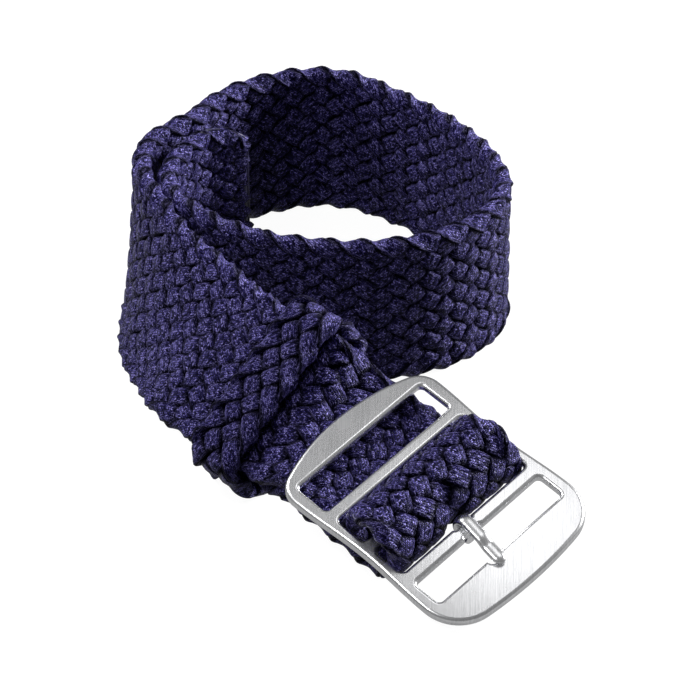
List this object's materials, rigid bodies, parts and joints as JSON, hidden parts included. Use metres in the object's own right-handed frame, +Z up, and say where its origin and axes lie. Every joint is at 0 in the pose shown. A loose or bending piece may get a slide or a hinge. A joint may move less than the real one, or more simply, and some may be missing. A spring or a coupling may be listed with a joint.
{
  "type": "watch strap",
  "caption": "Flat braided nylon watch strap, rolled up on its edge, with a stamped ladder buckle, a pivoting tongue and a sliding braided keeper.",
  "frame": {"origin": "middle of the whole strap's box, on the surface that the rolled strap stands on", "axes": "+Z up, +Y from the buckle towards the back of the ring, +X to the right across the buckle"},
  "size_m": [0.0656, 0.0896, 0.0201],
  "materials": {
    "braid": "plaited navy nylon cord with fine pale flecks",
    "sealed_nylon": "nylon melted smooth at the cut",
    "thread": "twisted sewing thread",
    "steel": "brushed across the plate, edges polished"
  },
  "bodies": {
    "strap_body": {"strap_wall": "braid", "strap_free_end": "braid", "sealed_tip": "sealed_nylon", "strap_panel": "braid", "strap_loop": "braid", "turned_end": "braid", "turned_end_seal": "sealed_nylon", "fold_stitching": "thread"},
    "buckle_body": {"buckle_plate": "steel"},
    "tongue_body": {"tongue": "steel"},
    "keeper_body": {"keeper_band": "braid", "keeper_stitching": "thread"}
  },
  "joints": [
    {"name": "buckle_hinge", "type": "hinge", "parent": "strap_body", "child": "buckle_body", "pos_m": [-0.02019, -0.02925, 0.00751], "axis": [0.9659, 0, 0.2588], "range_deg": [0, 35]},
    {"name": "tongue_hinge", "type": "hinge", "parent": "buckle_body", "child": "tongue_body", "pos_m": [-0.01976, -0.03503, 0.00591], "axis": [-0.9659, 0, -0.2588], "range_deg": [0, 100]},
    {"name": "keeper_slide", "type": "slide", "parent": "strap_body", "child": "keeper_body", "axis": [0.0507, 0.9987, 0], "range_m": [0, 0.004]}
  ]
}
